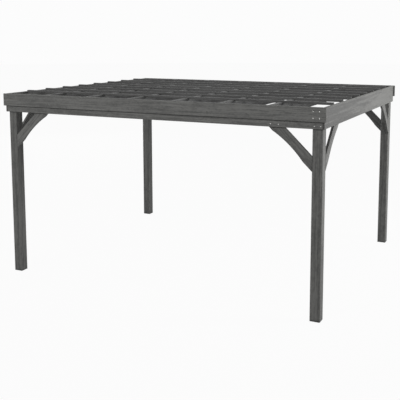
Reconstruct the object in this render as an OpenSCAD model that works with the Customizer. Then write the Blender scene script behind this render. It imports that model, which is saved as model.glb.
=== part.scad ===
// Free-standing garden pergola in stained softwood: four posts with knee
// braces, a rim of headers and side boards, rafters and a roof of slats.
// Millimetres. +Z is up, the front looks along -Y, and the origin is on the
// ground in the middle of the pergola.

/* [Overall] */
// Width over the two side boards
frame_w = 3800; // [2600:10:4800]
// Depth over the two headers
frame_d = 3150; // [2200:10:4200]
// Height from the ground to the top of the rim boards
frame_h = 2110; // [1950:10:2700]

/* [Posts] */
// Side of a square post
post_side = 105; // [80:1:150]
// Distance from the top of the rim boards down to the top of a post
post_top_drop = 30; // [10:1:60]
// Width of the eased edges of a post
post_ease = 6; // [1:0.5:12]

/* [Rim boards] */
// Height of the headers and side boards
rim_h = 210; // [180:1:280]
// Thickness of a header
header_t = 25; // [18:0.5:45]
// Thickness of a side board
side_board_t = 20; // [18:0.5:45]
// Height of a fascia board
fascia_h = 140; // [90:1:170]
// Thickness of a fascia board
fascia_t = 22; // [15:0.5:40]
// Distance that a fascia board runs past each side board
fascia_overhang = 18; // [0:1:60]
// Width of the eased edges of all boards
board_ease = 4; // [1:0.5:6]

/* [Rafters] */
// Thickness of a rafter
rafter_t = 45; // [30:1:70]
// Height of a rafter
rafter_h = 130; // [90:1:140]
// Distance from the top of the rim boards down to the top of the rafters
rafter_top_drop = 0; // [0:1:20]

/* [Roof slats] */
// Width of a slat, from front to back
slat_w = 40; // [30:1:90]
// Thickness of a slat
slat_t = 26; // [15:1:40]
// Depth that a slat is let into the tops of the rafters
slat_housing = 11; // [0:1:15]
// Gap between the end of a slat and the side board
slat_end_gap = 1.5; // [0.5:0.5:5]

/* [Knee braces] */
// Distance from the corner of post and rim to the outer edge of a brace, along the rim
brace_reach = 443; // [350:1:600]
// How far the straight lower end of a brace is set back up the post
brace_heel = 29; // [5:1:45]
// How much less than 45 degrees a brace rises, over its inner reach
brace_lean = 9; // [0:1:20]
// Width of a brace at the rim
brace_w = 117; // [80:1:160]
// Thickness of a brace
brace_t = 25; // [18:0.5:45]
// Depth of the shallow curve in the lower edge of a brace
brace_scoop_depth = 30; // [10:1:40]
// Length of that curve along the edge
brace_scoop_len = 520; // [300:10:560]
// Gap between the top of a brace and the underside of the rafters
brace_top_gap = 8; // [3:1:25]

/* [Hidden] */

rafter_count = 6;
slat_count = 8;
// Facets of the circle that cuts the curve of a brace
scoop_fn = 180;

post_colour = [0.40, 0.39, 0.37];
board_colour = [0.42, 0.41, 0.38];
roof_colour = [0.34, 0.34, 0.32];

// Heights above the ground
rim_bottom = frame_h - rim_h;
post_h = frame_h - post_top_drop;
rafter_top = frame_h - rafter_top_drop;
rafter_bottom = rafter_top - rafter_h;
slat_bottom = rafter_top - slat_housing;
// Inner faces of the side boards and headers, from the middle
inner_x = frame_w / 2 - side_board_t;
inner_y = frame_d / 2 - header_t;
// Inner faces of the posts, from the middle
post_inner_x = inner_x - post_side;
post_inner_y = inner_y - post_side;
// Equal bays between the side boards and between the headers
rafter_pitch = 2 * inner_x / (rafter_count + 1);
slat_pitch = 2 * inner_y / (slat_count + 1);
// How far a brace goes up behind the rim
brace_lap = rafter_bottom - brace_top_gap - rim_bottom;

// Cross-section a by b with its four edges eased
module eased_section(a, b, ease) {
    polygon([
        [ease, 0], [a - ease, 0], [a, ease], [a, b - ease],
        [a - ease, b], [ease, b], [0, b - ease], [0, ease]
    ]);
}

// Timber along +X, of thickness t in Y and height h in Z
module timber_x(len, t, h, ease) {
    rotate([90, 0, 90])
        linear_extrude(len)
            eased_section(t, h, ease);
}

// Timber along +Y, of thickness t in X and height h in Z
module timber_y(len, t, h, ease) {
    translate([0, len, 0])
        rotate([90, 0, 0])
            linear_extrude(len)
                eased_section(t, h, ease);
}

// Copies its child to the right or left (sx) and to the back or front (sy)
module at_corner(sx, sy) {
    mirror([sx < 0 ? 1 : 0, 0, 0])
        mirror([0, sy < 0 ? 1 : 0, 0])
            children();
}

module post(sx, sy) {
    color(post_colour)
        at_corner(sx, sy)
            translate([post_inner_x, post_inner_y, 0])
                linear_extrude(post_h)
                    eased_section(post_side, post_side, post_ease);
}

// Outline of a brace: x runs away from the post, y up from the rim's underside
module brace_outline() {
    inner_reach = brace_reach - brace_w * sqrt(2);
    inner_drop = inner_reach - brace_lean;
    slope = inner_drop / inner_reach;
    scoop_r = (pow(brace_scoop_len / 2, 2) + pow(brace_scoop_depth, 2))
        / (2 * brace_scoop_depth);
    scoop_out = (scoop_r - brace_scoop_depth) / sqrt(2);
    heel_y = brace_heel - brace_reach;
    heel_x = brace_reach / 4;
    difference() {
        polygon([
            [0, -brace_reach], [brace_reach + brace_lap, brace_lap],
            [inner_reach + brace_lap / slope, brace_lap], [0, -inner_drop]
        ]);
        translate([brace_reach / 2 + scoop_out, -brace_reach / 2 - scoop_out])
            circle(r = scoop_r, $fn = scoop_fn);
        // Straight lower end, from the post to where the curve begins
        polygon([
            [-1, -brace_reach - 1], [-1, heel_y - slope],
            [heel_x, heel_y + heel_x * slope], [heel_x, -brace_reach - 1]
        ]);
    }
}

// Brace from a post up to a header, against the header's inner face
module header_brace(sx, sy) {
    color(board_colour)
        at_corner(sx, sy)
            translate([post_inner_x, inner_y, rim_bottom])
                rotate([90, 0, 0])
                    linear_extrude(brace_t)
                        mirror([1, 0])
                            brace_outline();
}

// Brace from a post up to a side board, against the side board's inner face
module side_brace(sx, sy) {
    color(board_colour)
        at_corner(sx, sy)
            translate([inner_x - brace_t, post_inner_y, rim_bottom])
                rotate([90, 0, 90])
                    linear_extrude(brace_t)
                        mirror([1, 0])
                            brace_outline();
}

// Header between the side boards
module header(sy) {
    color(board_colour)
        at_corner(1, sy)
            translate([-inner_x, inner_y, rim_bottom])
                timber_x(2 * inner_x, header_t, rim_h, board_ease);
}

// Fascia on the upper part of a header, over the ends of the side boards
module fascia(sy) {
    color(board_colour)
        at_corner(1, sy)
            translate([-frame_w / 2 - fascia_overhang, frame_d / 2, frame_h - fascia_h])
                timber_x(frame_w + 2 * fascia_overhang, fascia_t, fascia_h, board_ease);
}

// Side board over the ends of the headers
module side_board(sx) {
    color(board_colour)
        at_corner(sx, 1)
            translate([inner_x, -frame_d / 2, rim_bottom])
                timber_y(frame_d, side_board_t, rim_h, board_ease);
}

// Rafter between the headers, counted from the left, with a housing for each slat
module rafter(i) {
    left = -inner_x + i * rafter_pitch - rafter_t / 2;
    color(roof_colour)
        difference() {
            translate([left, -inner_y, rafter_bottom])
                timber_y(2 * inner_y, rafter_t, rafter_h, board_ease);
            for (k = [1 : slat_count])
                translate([left - 1, -inner_y + k * slat_pitch - slat_w / 2, slat_bottom])
                    cube([rafter_t + 2, slat_w, slat_housing + 1]);
        }
}

// Slat in the rafters' housings, counted from the front
module slat(i) {
    slat_len = 2 * (inner_x - slat_end_gap);
    color(roof_colour)
        translate([-slat_len / 2, -inner_y + i * slat_pitch - slat_w / 2, slat_bottom])
            timber_x(slat_len, slat_w, slat_t, board_ease);
}

post(-1, -1);  // front_left_post
post(1, -1);  // front_right_post
post(-1, 1);  // back_left_post
post(1, 1);  // back_right_post
header_brace(-1, -1);  // front_left_header_brace
header_brace(1, -1);  // front_right_header_brace
header_brace(-1, 1);  // back_left_header_brace
header_brace(1, 1);  // back_right_header_brace
side_brace(-1, -1);  // front_left_side_brace
side_brace(1, -1);  // front_right_side_brace
side_brace(-1, 1);  // back_left_side_brace
side_brace(1, 1);  // back_right_side_brace
header(-1);  // front_header
header(1);  // back_header
fascia(-1);  // front_fascia
fascia(1);  // back_fascia
side_board(-1);  // left_side_board
side_board(1);  // right_side_board
rafter(1);  // rafter_1
rafter(2);  // rafter_2
rafter(3);  // rafter_3
rafter(4);  // rafter_4
rafter(5);  // rafter_5
rafter(6);  // rafter_6
slat(1);  // slat_1
slat(2);  // slat_2
slat(3);  // slat_3
slat(4);  // slat_4
slat(5);  // slat_5
slat(6);  // slat_6
slat(7);  // slat_7
slat(8);  // slat_8
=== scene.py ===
# %% [markdown]
# # A dark stained wooden pergola
# The pergola is an open frame: four posts, a rim of boards round their tops, six rafters from front
# to back, eight slats let into them, and eight curved braces. The joinery comes ready from the CAD
# model. This lesson gives it what the CAD model can't: stained, weathered softwood whose grain runs
# along each piece, and the screws that hold the boards.

# %% Load the joinery
import math
import random

import bmesh
import bpy
from mathutils import Matrix, Vector


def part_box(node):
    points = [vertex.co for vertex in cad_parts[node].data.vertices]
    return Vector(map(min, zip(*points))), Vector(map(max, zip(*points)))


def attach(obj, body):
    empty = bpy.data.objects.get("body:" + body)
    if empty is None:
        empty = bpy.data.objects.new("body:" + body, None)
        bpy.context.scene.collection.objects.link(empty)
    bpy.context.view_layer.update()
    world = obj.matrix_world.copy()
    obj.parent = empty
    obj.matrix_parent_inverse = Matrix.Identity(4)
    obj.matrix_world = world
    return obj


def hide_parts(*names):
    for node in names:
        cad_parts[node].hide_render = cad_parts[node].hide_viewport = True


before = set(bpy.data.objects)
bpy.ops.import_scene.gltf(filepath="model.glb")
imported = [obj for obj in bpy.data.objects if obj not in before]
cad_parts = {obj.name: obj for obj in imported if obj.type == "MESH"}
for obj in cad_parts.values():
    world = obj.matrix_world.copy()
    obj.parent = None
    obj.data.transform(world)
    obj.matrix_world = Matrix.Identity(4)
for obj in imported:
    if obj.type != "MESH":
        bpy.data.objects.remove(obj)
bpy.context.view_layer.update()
bpy.ops.object.select_all(action="DESELECT")

# %% [markdown]
# ## The camera
# The frame is seen from a little above its roof, off its right front corner, through a fairly long
# lens, so the posts stay nearly upright. A camera that is tipped far down would make them lean, so
# almost half of the drop comes from the lens shift, as with a view camera. All of it could, but so
# large a shift would push the frame out of the picture when the same camera walks round it.

# %% Set up the camera
tipped_down = 0.1251
turned_left = 0.4381
camera = bpy.data.cameras.new("garden_view")
camera.sensor_width = 36.0
camera.lens = 64.95
camera.shift_x = -0.038
camera.shift_y = -0.190
viewer = bpy.data.objects.new("garden_view", camera)
viewer.location = (3.8147, -8.0756, 2.7983)
viewer.rotation_euler = (math.pi / 2 - tipped_down, 0.0, turned_left)
bpy.context.scene.collection.objects.link(viewer)
bpy.context.scene.camera = viewer
print("camera stands", round(viewer.location.length, 2), "m from the middle of the frame's foot")

# %% [markdown]
# ## Writing shader maths as sums
# A material is a graph of nodes, which is slow to read when each node and link is a line of its own.
# `Wire` wraps one socket, so `1 - mask * 0.4` makes the Math nodes by itself.

# %% A wire
class Wire:
    """One output of a shader node, which sums can be written with."""

    def __init__(self, graph, socket):
        self.graph = graph
        self.socket = socket

    def maths(self, operation, *values):
        return self.graph.add("ShaderNodeMath", {"operation": operation}, dict(enumerate(values)))

    def __add__(self, other):
        return self.maths("ADD", self, other)

    def __radd__(self, other):
        return self.maths("ADD", other, self)

    def __sub__(self, other):
        return self.maths("SUBTRACT", self, other)

    def __rsub__(self, other):
        return self.maths("SUBTRACT", other, self)

    def __mul__(self, other):
        return self.maths("MULTIPLY", self, other)

    def __rmul__(self, other):
        return self.maths("MULTIPLY", other, self)

    def __truediv__(self, other):
        return self.maths("DIVIDE", self, other)

    def __rtruediv__(self, other):
        return self.maths("DIVIDE", other, self)

    def __pow__(self, other):
        return self.maths("POWER", self, other)

    def __abs__(self):
        return self.maths("ABSOLUTE", self)

    def fraction(self):
        return self.maths("FRACT", self)

    def root(self):
        return self.maths("SQRT", self)

    def larger(self, other):
        return self.maths("MAXIMUM", self, other)

    def step(self, start, end):
        """0 below start, 1 above end, and a smooth rise between them."""
        sockets = {"Value": self, "From Min": start, "From Max": end}
        return self.graph.add("ShaderNodeMapRange", {"interpolation_type": "SMOOTHSTEP"}, sockets)


print("wires ready")

# %% [markdown]
# `Graph.add` makes every other node: its settings first, then the values or wires that go into it.
# `mottle` is the one that timber needs most. Its noise has so many patches to the metre across the
# grain and so many along it, so that one call gives anything from a cloud to a fibre.

# %% A graph
class Graph:
    """The node tree of a material or world, emptied and ready to be filled."""

    def __init__(self, owner):
        owner.use_nodes = True
        self.tree = owner.node_tree
        self.tree.nodes.clear()

    def add(self, kind, settings=None, sockets=None, out=0):
        node = self.tree.nodes.new(kind)
        for setting, value in (settings or {}).items():
            setattr(node, setting, value)
        for socket, value in (sockets or {}).items():
            if isinstance(value, Wire):
                self.tree.links.new(value.socket, node.inputs[socket])
            else:
                node.inputs[socket].default_value = value
        return Wire(self, node.outputs[out] if node.outputs else None)

    def split(self, vector):
        """The X, Y and Z of a vector."""
        first = self.add("ShaderNodeSeparateXYZ", None, {0: vector})
        return [Wire(self, socket) for socket in first.socket.node.outputs]

    def mottle(self, place, across, along, detail, roughness=0.5):
        """Noise with so many patches a metre on X and Y, and along Z."""
        scaled = self.add("ShaderNodeVectorMath", {"operation": "MULTIPLY"},
                          {0: place, 1: (across, across, along)})
        sockets = {"Vector": scaled, "Scale": 1.0, "Detail": detail, "Roughness": roughness}
        return self.add("ShaderNodeTexNoise", {"noise_dimensions": "3D"}, sockets)

    def mottle_along(self, distance, per_metre, detail):
        """Noise along one distance only."""
        sockets = {"W": distance, "Scale": per_metre, "Detail": detail}
        return self.add("ShaderNodeTexNoise", {"noise_dimensions": "1D"}, sockets)

    def blend(self, factor, first, second):
        sockets = {0: factor, 6: first, 7: second}
        return self.add("ShaderNodeMix", {"data_type": "RGBA"}, sockets, out=2)


print("graphs ready")

# %% [markdown]
# ## The room
# The frame stands on a plain white floor under an even white sky. Both are kept low as lights, so
# that the inside of the frame stays darker than its outside. Where the camera, a mirror or a pane
# looks straight at them it sees them as white, and the floor still takes the frame's shadow.

# %% The sky
sky_strength = 0.32
sky_strength_seen = 0.974


def seen_directly(graph):
    """1 where the camera, a mirror or a pane looks at this surface, and 0 where it lights others."""
    camera_ray = graph.add("ShaderNodeLightPath", out="Is Camera Ray")
    glossy_ray = graph.add("ShaderNodeLightPath", out="Is Glossy Ray")
    passing_ray = graph.add("ShaderNodeLightPath", out="Is Transmission Ray")
    return camera_ray.larger(glossy_ray).larger(passing_ray)


sky = bpy.data.worlds.new("white_sky")
bpy.context.scene.world = sky
graph = Graph(sky)
white = {"Color": (1, 1, 1, 1)}
lighting = graph.add("ShaderNodeBackground", None, {**white, "Strength": sky_strength})
seen = graph.add("ShaderNodeBackground", None, {**white, "Strength": sky_strength_seen})
both = graph.add("ShaderNodeMixShader", None, {0: seen_directly(graph), 1: lighting, 2: seen})
graph.add("ShaderNodeOutputWorld", None, {"Surface": both})
bpy.context.scene.view_settings.view_transform = "Standard"
print("the sky lights at", sky_strength, "and is seen at", sky_strength_seen)

# %% [markdown]
# The floor is one large disc, as white to the eye as the sky, so its far rim doesn't show. To the
# light that falls on it the floor is matt, and the little that is left of this matt part when it is
# looked at carries the frame's shadow.

# %% The floor
floor_radius = 60.0
floor_share_seen = 0.96
bpy.ops.mesh.primitive_circle_add(vertices=96, radius=floor_radius, fill_type="NGON",
                                  location=(0, 0, 0))
floor = bpy.context.object
floor.name = "studio_floor"
white_floor = bpy.data.materials.new("white_floor")
graph = Graph(white_floor)
matt = graph.add("ShaderNodeBsdfDiffuse", None, {"Color": (0.26, 0.26, 0.26, 1)})
bright = graph.add("ShaderNodeEmission", None, {**white, "Strength": 1.0})
share = seen_directly(graph) * floor_share_seen
mixed = graph.add("ShaderNodeMixShader", None, {0: share, 1: matt, 2: bright})
graph.add("ShaderNodeOutputMaterial", None, {"Surface": mixed})
floor.data.materials.append(white_floor)
print("floor radius", floor_radius, "m")

# %% [markdown]
# Three soft lamps shape the frame. One stands off to the right at a little over roof height, as low
# winter sun would, so the right-hand boards catch it and the slats throw short shadows on the
# rafters. A wide, high one at the front left lights the long front. The third, at the back left,
# keeps the far sides from going flat. It stays below the roof, because from above it would glint
# along every slat, and its beam is narrow, which keeps it off the floor.

# %% The lamps
def soft_lamp(name, place, aim, width, height, watts, spread=180):
    """A rectangular lamp whose light opens by the spread, in degrees."""
    bpy.ops.object.light_add(type="AREA", location=place)
    lamp = bpy.context.object
    lamp.name = name
    lamp.data.shape = "RECTANGLE"
    lamp.data.size = width
    lamp.data.size_y = height
    lamp.data.energy = watts
    lamp.data.spread = math.radians(spread)
    beam = Vector(aim) - Vector(place)
    lamp.rotation_euler = beam.to_track_quat("-Z", "Y").to_euler()
    lamp.visible_camera = False
    print(name, "is", round(beam.length, 1), "m from what it lights")


soft_lamp("right_lamp", (6.6, 0.8, 2.8), (1.0, 0.2, 1.7), 1.3, 1.1, 368.0)
soft_lamp("front_left_lamp", (-5.0, -14.0, 8.0), (0.0, 0.0, 1.5), 5.0, 4.0, 1330.0)
soft_lamp("back_left_lamp", (-9.0, 9.0, 1.1), (0.0, 0.0, 1.1), 4.0, 1.6, 165.0, spread=70)

# %% [markdown]
# ## Stained softwood
# On the real frame every piece is planed softwood under a thin dark grey stain. Real timber is
# a stack of growth rings round the tree's pith, so the finish is built the same way: the piece is
# laid in its log, with the grain along the log's axis, and the distance from the pith gives rings
# on every face at once, straight on a quarter-sawn face, arched on a flat-sawn one, and round on
# the end grain. A picture of planks would need a seam at each edge, and it would repeat.

# %% How a piece lies in its log
def laid(centre, grain, face, pith):
    """The Mapping values that put the pith on Z, with the grain along Z and the face towards Y."""
    along = Vector(grain).normalized()
    outward = Vector(face).normalized()
    across = outward.cross(along)
    turn = Matrix((across, outward, along))
    place = Vector(pith) - turn @ Vector(centre)
    return turn.to_euler("XYZ"), place


def middle(node):
    low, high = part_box(node)
    return (Vector(low) + Vector(high)) / 2


print("front header's middle", [round(v, 3) for v in middle("front_header")])

# %% [markdown]
# A knot is a branch that ran out from the pith, so knots are placed by height and by angle round it.
# A flat cell pattern is wrapped round the log, and one cell of every three holds a branch. The grain
# swirls aside round a branch, over a wider ring than the knot itself.

# %% Knots
cells_per_metre = 3.1
wrap = 0.16  # Metres of the pattern to one radian round the pith


def knots_in(graph, log, amount):
    """The distance from the pith, the knots, and the swirl of the grain round them.

    The amount sets how far a knot reaches from its middle, from 4 mm at 0 to 34 mm at 1.
    """
    x, y, z = graph.split(log)
    radius = (x * x + y * y).root()
    angle = x.maths("ARCTAN2", x, y)
    wrapped = graph.add("ShaderNodeCombineXYZ", None, {0: angle * wrap, 1: z, 2: 0.0})
    cells = {"Vector": wrapped, "Scale": cells_per_metre, "Randomness": 0.9}
    flat = {"voronoi_dimensions": "2D"}
    away = graph.add("ShaderNodeTexVoronoi", flat, cells, out="Distance") / cells_per_metre
    tint = graph.add("ShaderNodeTexVoronoi", flat, cells, out="Color")
    branch = graph.split(tint)[0].step(0.60, 0.68)
    knot_size = 0.030 * amount + 0.004
    knot = (1 - away.step(knot_size * 0.45, knot_size)) * branch
    swirl = (1 - away.step(knot_size * 0.6, knot_size * 4.5)) * branch
    return radius, knot, swirl


print("knots in cells of", round(1000 / cells_per_metre), "mm")

# %% [markdown]
# A ring is one year's growth: a broad pale band that ends in a thin dark line of latewood. A tree
# never grows quite round, so the distance from the pith is bent by its slow wander and a finer
# waver before the rings are counted. The pace of growth changes over the years as well, and a run
# of poor years shows as a darker cluster.

# %% Growth rings
ring_width = 0.0046


def rings_in(graph, log, radius, swirl):
    """The latewood line of each ring, and the clusters of years."""
    wander = graph.mottle(log, 2.2, 0.55, 1.0)
    waver = graph.mottle(log, 26.0, 2.4, 2.0)
    # In metres, the most by which each bends the distance.
    grown = radius + wander * 0.075 + waver * 0.0045 + swirl * 0.011
    pace = graph.mottle_along(grown, 42.0, 1.0)
    ring = (grown / ring_width + pace * 3.5).fraction()
    # The shift only draws the clusters from another stretch of noise than the pace.
    cluster = graph.mottle_along(grown + 3.7, 60.0, 2.0)
    # The power squeezes the rise of each ring into a thin line at its end.
    return ring ** 3.2, cluster


print("rings", ring_width * 1000, "mm wide")

# %% [markdown]
# Stain soaks in unevenly, which gives cloudy patches a hand or two wide, smaller blotches and
# specks. Bands and streaks follow the grain, down to threads half a millimetre wide. One noise would
# look like fog, so each has its own, with its own share in the tone. Thin drying cracks open along
# the grain, only in some stretches.

# %% Marks of the stain, and cracks
# Patches a metre across and along the grain, detail and roughness, and then the share in the tone.
marks = {
    "cloud": ((4.5, 1.6, 3.0, 0.60), 0.65),
    "blotch": ((24.0, 8.0, 2.0, 0.60), 0.95),
    "speckle": ((75.0, 34.0, 2.0, 0.60), 1.00),
    "band": ((36.0, 1.1, 1.0, 0.50), 1.20),
    "streak": ((95.0, 1.9, 3.0, 0.60), 1.75),
    "thread": ((620.0, 9.0, 3.0, 0.65), 0.60),
}


def cracks_in(graph, log):
    seam = abs(graph.mottle(log, 34.0, 0.75, 2.0) - 0.5)
    dry = graph.mottle(log, 9.0, 1.3, 1.0).step(0.60, 0.70)
    return (1 - seam.step(0.0012, 0.0060)) * dry * 0.5


print(len(marks), "kinds of mark")

# %% [markdown]
# The way a surface faces tells what happened to it. An edge that was eased with a plane faces half
# way between two long faces, and a sawn end faces along the log. Painted shade darkens a ragged band
# just under where a board laps over the piece below, and the feet of the posts are painted darker
# for the shade where they meet the ground.

# %% Edges, ends, and painted shade under laps and at feet
no_lap = 5.0  # A height above everything
painted_shade_reach = 0.013  # Painted shade thins out this far below a lap
painted_shade_full = 0.003
foot_shade_reach = 0.030  # Painted shade at a foot reaches this high above the ground
foot_shade_full = 0.004


def cuts_on(graph, faced):
    """The eased edges and the sawn ends."""
    across, outward, along = graph.split(faced)
    eased = abs(across * outward * 2.0).step(0.45, 0.90)
    sawn = abs(along).step(0.55, 0.68)
    return eased, sawn


def painted_shade_at(level, streak, lap, foot):
    """Painted shade just under the height of a lap, and at a foot."""
    ragged = level + (streak - 0.5) * 0.006
    painted_shade = ragged.step(lap - painted_shade_reach, lap - painted_shade_full)
    foot_shade = (1 - ragged.step(foot_shade_full, foot_shade_reach)) * foot
    return painted_shade.larger(foot_shade)


# The reach of the painted shade under a lap and at a foot.
print("dirt reaches", painted_shade_reach * 1000, "mm and damp", foot_shade_reach * 1000, "mm")

# %% [markdown]
# Now the layers go on in order. The marks, rings and edges add up to one tone between the dark and
# the light of the stain. Eased edges are rubbed a little paler, faces that look up can get painted
# light, and a piece can get painted light that grows towards the back. End grain drinks more stain,
# so it is darker, like the knots. The painted shade and the cracks come last. The same fibres, rings
# and cracks drive roughness and a shallow bump, so that the light finds them too.

# %% The stained timber finish
def darker(tone, share):
    return (*(value * share for value in tone), 1)


def stained_timber(name, euler, place, dark, light,
                   knots=0.3, top_light=0.0, light_to_back=0.0, lap=no_lap, foot=0.0):
    """Adds painted light on faces that look up, and painted light that grows towards the back of the
    frame.
    """
    finish = bpy.data.materials.new(name)
    graph = Graph(finish)
    spot = graph.add("ShaderNodeTexCoord", out="Object")
    normal = graph.add("ShaderNodeTexCoord", out="Normal")
    log = graph.add("ShaderNodeMapping", {"vector_type": "POINT"},
                    {"Vector": spot, "Location": place, "Rotation": euler})
    faced = graph.add("ShaderNodeMapping", {"vector_type": "VECTOR"},
                      {"Vector": normal, "Rotation": euler})
    radius, knot, swirl = knots_in(graph, log, knots)
    late, cluster = rings_in(graph, log, radius, swirl)
    made = {mark: graph.mottle(log, *grain) for mark, (grain, share) in marks.items()}
    crack = cracks_in(graph, log)
    eased, sawn = cuts_on(graph, faced)
    skyward = graph.split(normal)[2].step(0.60, 0.90)
    depth, level = graph.split(spot)[1:]
    painted_shade = painted_shade_at(level, made["streak"], lap, foot)

    # Painted light on faces that look up, and painted light that grows towards the back.
    tone = 0.58 + (cluster - 0.5) - late * 0.34 + eased * 0.16 + skyward * top_light + depth * light_to_back
    for mark, (grain, share) in marks.items():
        tone = tone + (made[mark] - 0.5) * share
    soaked = (dark[0] * 0.66, dark[1] * 0.62, dark[2] * 0.58, 1)
    stain = graph.blend(tone.step(0.0, 1.0), (*dark, 1), (*light, 1))
    stain = graph.blend(knot * 0.55, stain, soaked)
    stain = graph.blend(sawn * 0.45, stain, soaked)
    # Painted shade: a darker band under a lap and at the foot of a post.
    stain = graph.blend(painted_shade * 0.75, stain, darker(dark, 0.30))
    stain = graph.blend(crack, stain, darker(dark, 0.25))

    thread = made["thread"]
    rough = 0.60 + (thread - 0.5) * 0.26 + (made["cloud"] - 0.5) * 0.12 - late * 0.08 + sawn * 0.15
    height = thread * 0.30 + late * 0.30 - crack * 1.4 + knot * 0.25 + made["streak"] * 0.25
    bump = graph.add("ShaderNodeBump", None, {"Strength": 0.55, "Distance": 0.0011, "Height": height})
    shader = graph.add("ShaderNodeBsdfPrincipled", None,
                       {"Base Color": stain, "Roughness": rough, "Normal": bump, "IOR": 1.45})
    graph.add("ShaderNodeOutputMaterial", None, {"Surface": shader})
    return finish


print("timber finish defined")

# %% [markdown]
# The grain runs the long way of each piece, as it does in any frame that has to carry a load. In a
# brace it runs up from the post towards the middle of the board above. The broad face is turned
# towards the log's outside, which is how a board is sawn.

# %% Which way the grain runs
def brace_grain(node):
    """Up and away from the brace's post."""
    if node.endswith("header_brace"):
        return (1 if "_left_" in node else -1, 0, 1), (0, 1, 0)
    return (0, 1 if node.startswith("front") else -1, 1), (1, 0, 0)


def grain_of(node):
    """The direction of the grain and of the broad face."""
    if node.endswith("_brace"):
        return brace_grain(node)
    if node.endswith("_post"):
        return (0, 0, 1), (0, 1, 0)
    if node.startswith("slat"):
        return (1, 0, 0), (0, 0, 1)
    if node.startswith("rafter") or node.endswith("side_board"):
        return (0, 1, 0), (1, 0, 0)
    return (1, 0, 0), (0, 1, 0)


print("front left header brace's grain", grain_of("front_left_header_brace")[0])

# %% [markdown]
# Each kind of piece has its own dark and light, and the rafters and slats are the darkest. One
# colour for all would look moulded, so some pieces are also lighter or darker than the rest of their
# kind. That is partly the stain they took and partly painted shade: the back pieces under the roof
# and the right-hand pieces in the right lamp are set darker.

# %% The tones of each kind of piece
def tones_of(node):
    """The dark and the light of the stain on each kind of piece."""
    if node.endswith("_post"):
        return (0.043, 0.043, 0.0409), (0.115, 0.115, 0.1095)
    # The rafters' dark base, with painted light on their tops, gives lit tops over shaded sides.
    if node.startswith("rafter"):
        return (0.022, 0.022, 0.0216), (0.071, 0.071, 0.0700)
    if node.startswith("slat"):
        return (0.031, 0.031, 0.0305), (0.072, 0.072, 0.0710)
    if node.endswith("_brace"):
        return (0.045, 0.045, 0.0430), (0.128, 0.128, 0.1224)
    return (0.050, 0.050, 0.0478), (0.121, 0.121, 0.1156)


# How much lighter or darker than its kind a piece is: partly its stain, partly painted shade.
stain_and_painted_shade = {
    "front_left_post": 0.92, "back_left_post": 0.83, "front_header": 1.07,
    "back_right_header_brace": 0.75, "front_right_side_brace": 0.92,
    "back_right_side_brace": 0.88, "right_side_board": 0.82,
}
print("tones set, with", len(stain_and_painted_shade), "pieces apart from their kind")

# %% [markdown]
# The pieces differ in painted light and shade too. The rafters' tops get painted light, posts and
# braces get painted shade under the rim, headers under their fascia, and posts at their feet, and the
# right side board gets painted light that grows towards the back. The rafters and slats are sawn from
# knottier wood. The heights of the laps are read from the joinery, so the painted shade follows it if
# its sizes change.

# %% The knots and the painted light and shade of each kind of piece
rim_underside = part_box("front_header")[0][2]
fascia_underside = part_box("front_fascia")[0][2]


def knots_light_and_shade_of(node):
    """The settings of the finish that differ from the plain ones."""
    if node.startswith("rafter"):
        return {"knots": 0.5, "top_light": 0.75}
    if node.startswith("slat"):
        return {"knots": 0.5}
    if node.endswith("_post"):
        return {"lap": rim_underside, "foot": 1.0}
    if node.endswith("_brace"):
        return {"lap": rim_underside}
    if node.endswith("_header"):
        return {"lap": fascia_underside}
    if node == "right_side_board":
        return {"light_to_back": 0.34}
    return {}


print("rim starts at", round(rim_underside, 3), "m and fascia at", round(fascia_underside, 3), "m")

# %% [markdown]
# Each piece is cut from its own place in its own log, so no two show the same figure. Random numbers
# seeded with the piece's name give the pith's distance, the height in the log and a slight
# difference in colour. Posts hold their pith near the middle, as whole sawn logs of this size do.
# Boards come from further out.

# %% Stain every piece
def timber_for(node):
    chance = random.Random("timber " + node)
    grain, face = grain_of(node)
    side = chance.choice((-1, 1))
    # How far the piece's middle is from the pith, sideways and outwards, and how high in the log.
    if node.endswith("_post"):
        pith = (chance.uniform(-0.03, 0.03), chance.uniform(-0.03, 0.03), chance.uniform(2, 40))
    else:
        pith = (chance.uniform(-0.035, 0.035), chance.uniform(0.05, 0.13), chance.uniform(2, 40))
        face = tuple(side * v for v in face)
    euler, place = laid(middle(node), grain, face, pith)
    shade = chance.uniform(0.97, 1.03) * stain_and_painted_shade.get(node, 1.0)
    dark, light = (tuple(v * shade for v in tone) for tone in tones_of(node))
    return stained_timber("stain_" + node, euler, place, dark, light, **knots_light_and_shade_of(node))


for name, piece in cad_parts.items():
    finish = timber_for(name)
    piece.data.materials.clear()
    piece.data.materials.append(finish)
print("stained", len(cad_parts), "pieces")

# %% [markdown]
# ## The screws
# Each end of a fascia is held by four countersunk screws and each header by a pair at the post and a
# pair at the brace. Their bright zinc heads are the lightest spots on the front, except at the left
# end, where the heads have a dull finish almost as dark as the boards. Both finishes are one
# function, because the dark one has the same bloom and only lacks the shine.

# %% Zinc for the screws, bare and dull dark
def screw_finish(name, clean, dull, rough, metallic):
    finish = bpy.data.materials.new(name)
    graph = Graph(finish)
    spot = graph.add("ShaderNodeTexCoord", out="Object")
    bloom = graph.mottle(spot, 900.0, 900.0, 2.0, 0.6)
    colour = graph.blend(bloom.step(0.42, 0.66), (*clean, 1), (*dull, 1))
    metal = graph.add("ShaderNodeBsdfPrincipled", None,
                      {"Base Color": colour, "Roughness": rough + bloom * 0.22, "Metallic": metallic})
    graph.add("ShaderNodeOutputMaterial", None, {"Surface": metal})
    return finish


bare_zinc = screw_finish("bare_zinc", (0.64, 0.64, 0.62), (0.46, 0.46, 0.45), 0.30, 1.0)
dark_dull_zinc = screw_finish("dark_dull_zinc", (0.120, 0.120, 0.115), (0.080, 0.080, 0.077), 0.50, 0.0)
print("two finishes for the screws")

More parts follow.
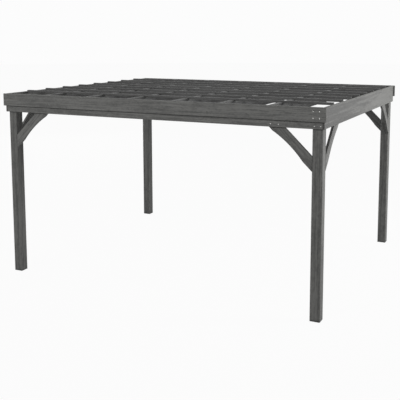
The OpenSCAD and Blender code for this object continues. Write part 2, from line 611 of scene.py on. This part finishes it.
# %% [markdown]
# A head is a short cone with a six-pointed drive recess. Only the head and the start of the neck are
# made, since the thread is buried in the wood. The cone is added at its real size with its top at
# the origin, and the sharp rim of the top is bevelled.

# %% The cone of a screw head
head_radius = 0.0042
neck_radius = 0.0020
head_depth = 0.0030
head_bevel = 0.00035


def pick_points(thing, wanted):
    """Selects the vertices of an object in edit mode for which wanted(vertex) is true."""
    mesh = bmesh.from_edit_mesh(thing.data)
    for vertex in mesh.verts:
        vertex.select = wanted(vertex)
    mesh.select_flush_mode()
    bmesh.update_edit_mesh(thing.data)


bpy.ops.mesh.primitive_cone_add(vertices=40, radius1=neck_radius, radius2=head_radius,
                                depth=head_depth, location=(0, 0, -head_depth / 2))
screw = bpy.context.object
screw.name = "screw_pattern"
bpy.ops.object.transform_apply(location=True, rotation=False, scale=False)
bpy.ops.object.mode_set(mode="EDIT")
bpy.ops.mesh.select_mode(type="EDGE")
pick_points(screw, lambda vertex: vertex.co.z > -0.0001)
bpy.ops.mesh.bevel(offset=head_bevel, segments=2)
bpy.ops.object.mode_set(mode="OBJECT")
print("cone has", len(screw.data.polygons), "faces")

# %% [markdown]
# The recess is a star. A cylinder with twelve sides becomes one when every second line of points is
# drawn in, and the star is then cut out of the cone.

# %% The drive recess
star_radius = 0.0018
star_waist = 0.68
star_depth = 0.0016


def cut_away(thing, cutter):
    """Cuts the shape of the cutter out of the thing, and removes the cutter."""
    cut = thing.modifiers.new("cut", "BOOLEAN")
    cut.operation = "DIFFERENCE"
    cut.solver = "EXACT"
    cut.object = cutter
    bpy.context.view_layer.objects.active = thing
    bpy.ops.object.modifier_apply(modifier=cut.name)
    bpy.data.objects.remove(cutter)


bpy.ops.mesh.primitive_cylinder_add(vertices=12, radius=star_radius, depth=2 * star_depth,
                                    location=(0, 0, 0))
star = bpy.context.object
bpy.ops.object.mode_set(mode="EDIT")
bpy.ops.mesh.select_mode(type="VERT")
pick_points(star, lambda vertex: round(math.atan2(vertex.co.y, vertex.co.x) / math.radians(30)) % 2)
bpy.ops.transform.resize(value=(star_waist, star_waist, 1.0), center_override=(0, 0, 0))
bpy.ops.object.mode_set(mode="OBJECT")
cut_away(screw, star)
screw.data.materials.append(bare_zinc)
print("screw head has", len(screw.data.polygons), "faces")

# %% [markdown]
# The head is modelled once, lying face up, and each screw is a copy with a mesh of its own. It is
# turned to face out of its board and spun by chance, as no two are driven to the same angle. It lies
# just under the surface, as a driver leaves it in soft wood.

# %% How a screw is set
sunk = 0.0004


def copy_of(thing, name):
    """A copy with a mesh of its own, which is selected and active."""
    copy = thing.copy()
    copy.data = thing.data.copy()
    copy.name = name
    bpy.context.scene.collection.objects.link(copy)
    bpy.ops.object.select_all(action="DESELECT")
    copy.select_set(True)
    bpy.context.view_layer.objects.active = copy
    return copy


def facing(outward):
    """The turn that points what lies face up outwards."""
    return Vector((0, 0, 1)).rotation_difference(Vector(outward)).to_matrix().to_4x4()


def set_screw(name, place, outward, spin):
    head = copy_of(screw, name)
    # Heads on the left end get the dull dark finish.
    head.data.materials[0] = dark_dull_zinc if place[0] < 0 else bare_zinc
    rest = Matrix.Translation(Vector(place) - Vector(outward) * sunk)
    head.matrix_world = rest @ facing(outward) @ Matrix.Rotation(spin, 4, "Z")
    bpy.ops.object.transform_apply(location=True, rotation=True, scale=True)
    bpy.ops.object.shade_smooth_by_angle(angle=math.radians(35))
    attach(head, "root")


print("heads lie", sunk * 1000, "mm under the surface")

# %% [markdown]
# The boards need countersinks for the heads to sit in. Each fascia and header is copied from its CAD
# piece, its loose triangles are merged into one skin, and a cone is cut out at every screw.

# %% How a board is drilled
sink_mouth_radius = 0.0053
sink_tip_radius = 0.0014
sink_length = 0.0048
sink_middle_depth = 0.0019  # The cutter's mouth stands 0.5 mm proud of the board, for a clean cut


def cone_at(place, outward):
    """A cutter for one countersink, wide end out."""
    bpy.ops.mesh.primitive_cone_add(vertices=40, radius1=sink_tip_radius, radius2=sink_mouth_radius,
                                    depth=sink_length, location=(0, 0, 0))
    cutter = bpy.context.object
    rest = Matrix.Translation(Vector(place) - Vector(outward) * sink_middle_depth)
    cutter.matrix_world = rest @ facing(outward)
    return cutter


def skin_of(node):
    """A copy of the CAD piece as one closed skin."""
    board = copy_of(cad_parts[node], node + "_drilled")
    bpy.ops.object.mode_set(mode="EDIT")
    bpy.ops.mesh.select_all(action="SELECT")
    bpy.ops.mesh.remove_doubles(threshold=0.00001)
    bpy.ops.object.mode_set(mode="OBJECT")
    return board


def drill(node, spots):
    low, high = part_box(node)
    front = node.startswith("front")
    face_y = low[1] if front else high[1]
    outward = (0, -1, 0) if front else (0, 1, 0)
    board = skin_of(node)
    chance = random.Random("screws " + node)
    for number, (x, z) in enumerate(spots, 1):
        place = (x, face_y, z)
        cut_away(board, cone_at(place, outward))
        set_screw(node + "_screw_%d" % number, place, outward, chance.uniform(0, math.pi / 3))
    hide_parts(node)
    print(node, "has", len(spots), "screws and", len(board.data.polygons), "faces")


print("countersinks are cut by a cone", round(sink_mouth_radius * 2000, 1), "mm wide")

# %% [markdown]
# A fascia has two columns and two rows of screws at each end. A header has one row near its lower
# edge, with two screws at the brace and two at the post. A place is given as the distance from the
# middle of the frame and the height. The pattern head has then done its work and is removed.

# %% Drill the boards and set the screws
fascia_screws = [(end * x, z) for end in (-1, 1) for x in (1.793, 1.855) for z in (2.004, 2.070)]
header_screws = [(end * x, 1.928) for end in (-1, 1) for x in (1.359, 1.439, 1.800, 1.863)]
for node in ("front_fascia", "back_fascia"):
    drill(node, fascia_screws)
for node in ("front_header", "back_header"):
    drill(node, header_screws)
bpy.data.objects.remove(screw)
